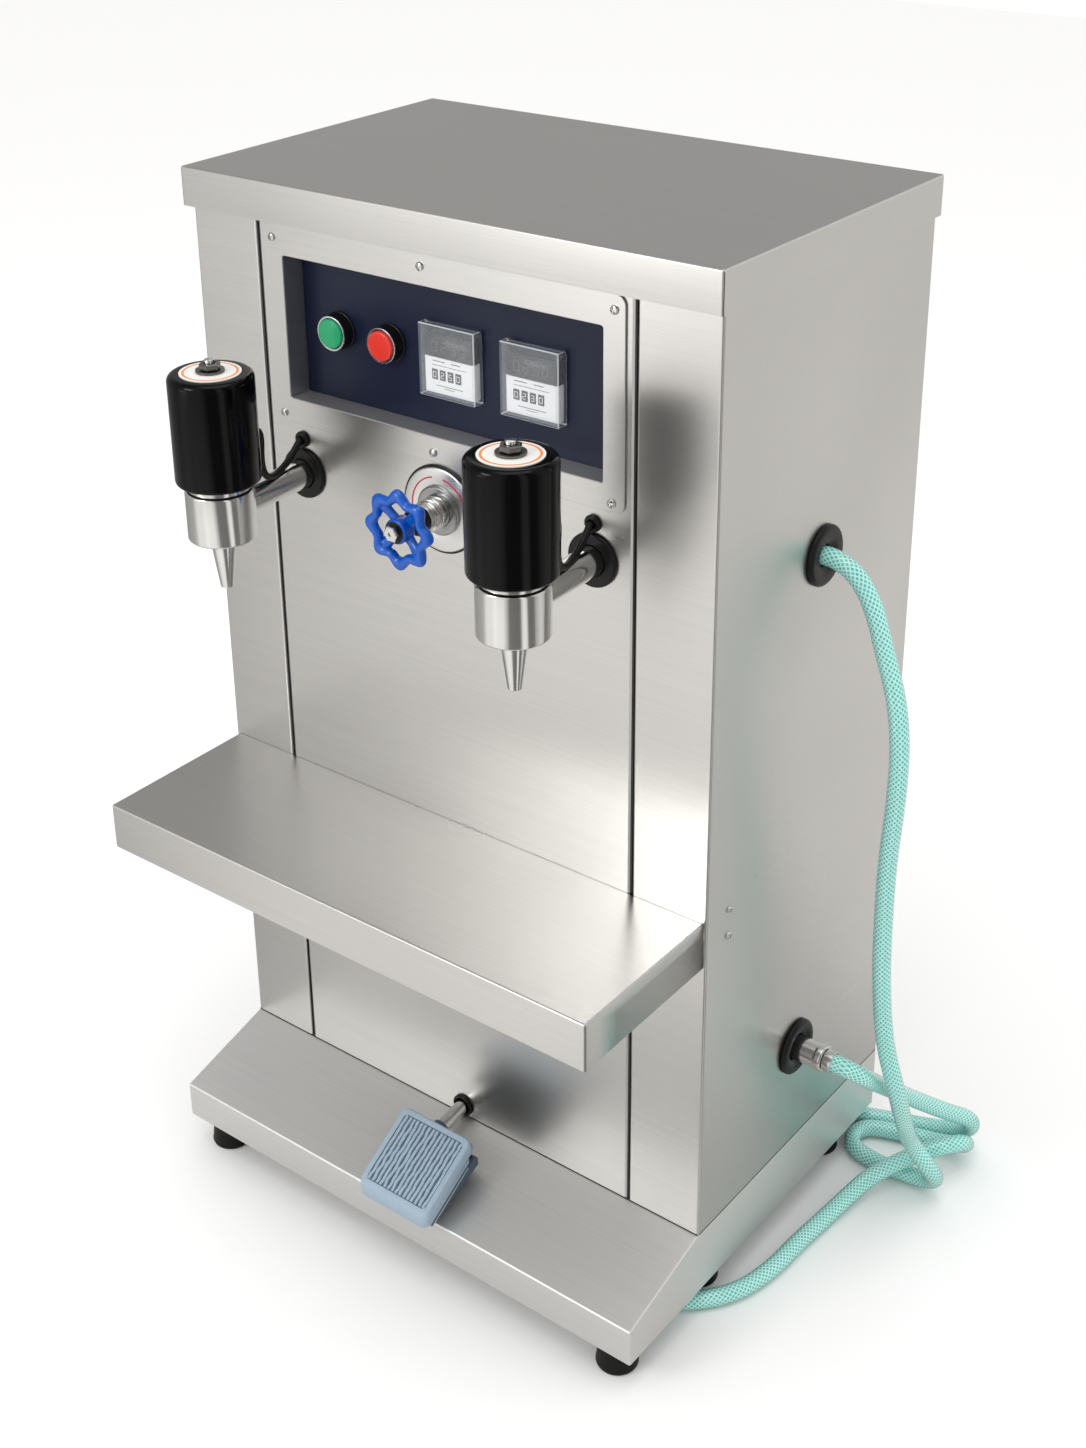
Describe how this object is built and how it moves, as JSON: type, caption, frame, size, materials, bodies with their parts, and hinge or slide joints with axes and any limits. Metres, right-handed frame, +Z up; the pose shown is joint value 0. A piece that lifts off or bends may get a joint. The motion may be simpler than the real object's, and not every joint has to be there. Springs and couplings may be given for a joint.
{
  "type": "oil filling machine",
  "caption": "Foot-switched bench machine that fills bottles with oil through solenoid nozzles over a shelf, with timers, a flow valve and a floor hose",
  "frame": {"origin": "centre of the footprint of the machine without its free hose, on the floor plane under the rubber feet", "axes": "+X to the right of a person who faces the controls, +Y from the controls to the back of the cabinet, +Z up"},
  "size_m": [0.6062, 0.49, 0.9104],
  "materials": {
    "brushed_sheet": "brushed",
    "plain_steel": "satin",
    "turned_steel": "polished",
    "valve_brass": "satin",
    "dark_steel": "satin",
    "navy_enamel": "satin",
    "black_plastic": "satin",
    "black_gloss": "gloss",
    "green_plastic": "satin",
    "red_plastic": "satin",
    "clear_plastic": "gloss",
    "blue_enamel": "gloss",
    "black_rubber": "matte",
    "pedal_rubber": "matte",
    "hose_green": "gloss",
    "pump_enamel": "satin"
  },
  "bodies": {
    "machine": {"back_panel": "brushed_sheet", "base_tray": "brushed_sheet", "control_faceplate": "brushed_sheet", "delivery_manifold": "plain_steel", "filling_shelf": "brushed_sheet", "front_left_foot": "black_rubber", "front_panel": "brushed_sheet", "front_right_foot": "black_rubber", "gland_nut": "black_plastic", "hose": "hose_green", "instrument_panel": "navy_enamel", "left_arm": "turned_steel", "left_arm_grommet": "black_rubber", "left_coil": "black_gloss", "left_coil_lead": "black_rubber", "left_coil_nut": "dark_steel", "left_nozzle_body": "turned_steel", "left_nozzle_tip": "turned_steel", "left_side_panel": "brushed_sheet", "left_timer": "black_plastic", "lower_hose_grommet": "black_rubber", "middle_left_foot": "black_rubber", "middle_right_foot": "black_rubber", "motor": "pump_enamel", "pedal_arm": "turned_steel", "pedal_grommet": "black_rubber", "pedal_housing": "black_plastic", "pump_body": "pump_enamel", "pump_cover": "pump_enamel", "rear_left_foot": "black_rubber", "rear_right_foot": "black_rubber", "return_pipe": "plain_steel", "right_arm": "turned_steel", "right_arm_grommet": "black_rubber", "right_coil": "black_gloss", "right_coil_lead": "black_rubber", "right_coil_nut": "dark_steel", "right_nozzle_body": "turned_steel", "right_nozzle_tip": "turned_steel", "right_side_panel": "brushed_sheet", "right_timer": "black_plastic", "shelf_bracket": "plain_steel", "start_button_body": "black_plastic", "stop_button_body": "black_plastic", "suction_pipe": "plain_steel", "top_lid": "brushed_sheet", "upper_hose_grommet": "black_rubber", "valve_body": "valve_brass", "valve_dial": "turned_steel"},
    "start_button": {"start_button_cap": "green_plastic"},
    "stop_button": {"stop_button_cap": "red_plastic"},
    "handwheel_set": {"handwheel": "blue_enamel", "valve_stem": "dark_steel"},
    "pedal": {"pedal_pad": "pedal_rubber"},
    "left_cover": {"left_timer_cover": "clear_plastic"},
    "right_cover": {"right_timer_cover": "clear_plastic"},
    "left_plunger_set": {"left_plunger": "dark_steel"},
    "right_plunger_set": {"right_plunger": "dark_steel"},
    "drive_shaft_set": {"drive_gear": "dark_steel"},
    "driven_gear_set": {"driven_gear": "dark_steel"}
  },
  "joints": [
    {"name": "start_press", "type": "slide", "parent": "machine", "child": "start_button", "axis": [0, 1, 0], "range_m": [0, 0.004], "stiffness_N_per_m": 400, "springref_m": -0.003},
    {"name": "stop_press", "type": "slide", "parent": "machine", "child": "stop_button", "axis": [0, 1, 0], "range_m": [0, 0.004], "stiffness_N_per_m": 400, "springref_m": -0.003},
    {"name": "handwheel_turn", "type": "hinge", "parent": "machine", "child": "handwheel_set", "pos_m": [0, -0.075, 0.6758], "axis": [0, -1, 0], "range_deg": [-540, 540]},
    {"name": "pedal_press", "type": "hinge", "parent": "machine", "child": "pedal", "pos_m": [0.018, -0.176, 0.077], "axis": [-1, 0, 0], "range_deg": [0, 8], "stiffness_Nm_per_rad": 3, "springref_deg": -5.73},
    {"name": "left_cover_lift", "type": "hinge", "parent": "machine", "child": "left_cover", "pos_m": [0.0015, -0.0595, 0.8154], "axis": [-1, 0, 0], "range_deg": [0, 90]},
    {"name": "right_cover_lift", "type": "hinge", "parent": "machine", "child": "right_cover", "pos_m": [0.0795, -0.0595, 0.8154], "axis": [-1, 0, 0], "range_deg": [0, 90]},
    {"name": "left_plunger_lift", "type": "slide", "parent": "machine", "child": "left_plunger_set", "axis": [0, 0, 1], "range_m": [0, 0.004], "stiffness_N_per_m": 300, "springref_m": -0.004},
    {"name": "right_plunger_lift", "type": "slide", "parent": "machine", "child": "right_plunger_set", "axis": [0, 0, 1], "range_m": [0, 0.004], "stiffness_N_per_m": 300, "springref_m": -0.004},
    {"name": "drive_spin", "type": "hinge", "parent": "machine", "child": "drive_shaft_set", "pos_m": [0, 0.0705, 0.1741], "axis": [0, 1, 0], "continuous": true},
    {"name": "driven_spin", "type": "hinge", "parent": "machine", "child": "driven_gear_set", "pos_m": [0, 0.0705, 0.2101], "axis": [0, 1, 0], "continuous": true}
  ],
  "couplings": [
    {"joint": "driven_spin", "follows": "drive_spin", "ratio": -1}
  ]
}
